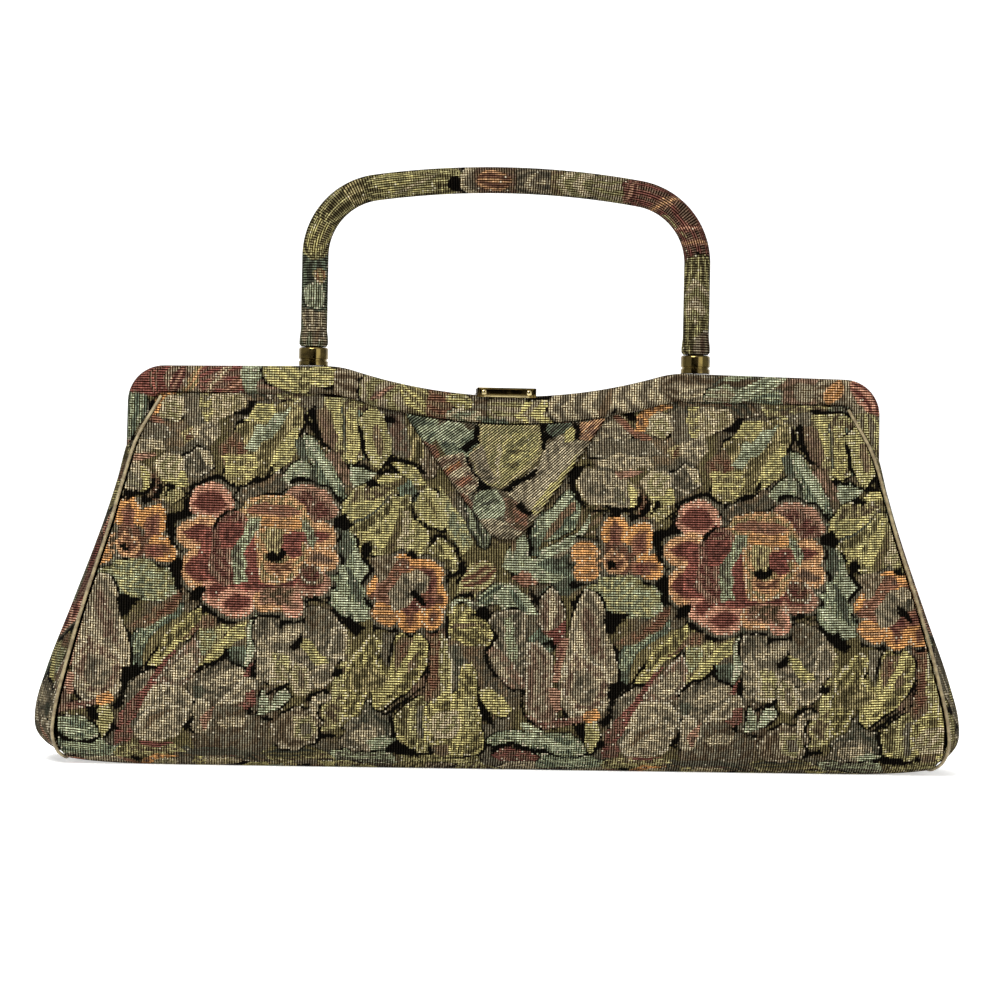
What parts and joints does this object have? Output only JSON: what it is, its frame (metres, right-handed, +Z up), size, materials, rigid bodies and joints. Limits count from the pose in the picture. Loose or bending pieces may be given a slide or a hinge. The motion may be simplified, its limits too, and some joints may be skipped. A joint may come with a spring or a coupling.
{
  "type": "frame handbag",
  "caption": "Trapezoid handbag of floral tapestry brocade on a cloth-covered frame, with a stiff arch handle on brass ferrules, a lift clasp and a pointed tab.",
  "frame": {"origin": "middle of the bag's base, on the surface it stands on", "axes": "+X to the bag's right as seen from the front, +Y from the front to the back, +Z up"},
  "size_m": [0.361, 0.073, 0.2346],
  "materials": {
    "brocade": "woven floral tapestry with metal thread",
    "piping": "smooth",
    "brass": "polished, slightly worn",
    "steel": "plain"
  },
  "bodies": {
    "bag": {"main_panel": "brocade", "gusset_left": "brocade", "gusset_right": "brocade", "frame_front": "brocade", "frame_back": "brocade", "flap": "brocade", "handle": "brocade", "piping_left": "piping", "piping_right": "piping", "ferrule_left": "brass", "ferrule_right": "brass", "clasp_base": "brass", "clasp_catch": "brass", "hinge_pin_left": "steel", "hinge_pin_right": "steel"},
    "clasp_lever": {"clasp_lever": "brass"}
  },
  "joints": [
    {"name": "clasp_lift", "type": "hinge", "parent": "bag", "child": "clasp_lever", "pos_m": [0, 0.004, 0.14645], "axis": [-1, 0, 0], "range_deg": [0, 75]}
  ]
}
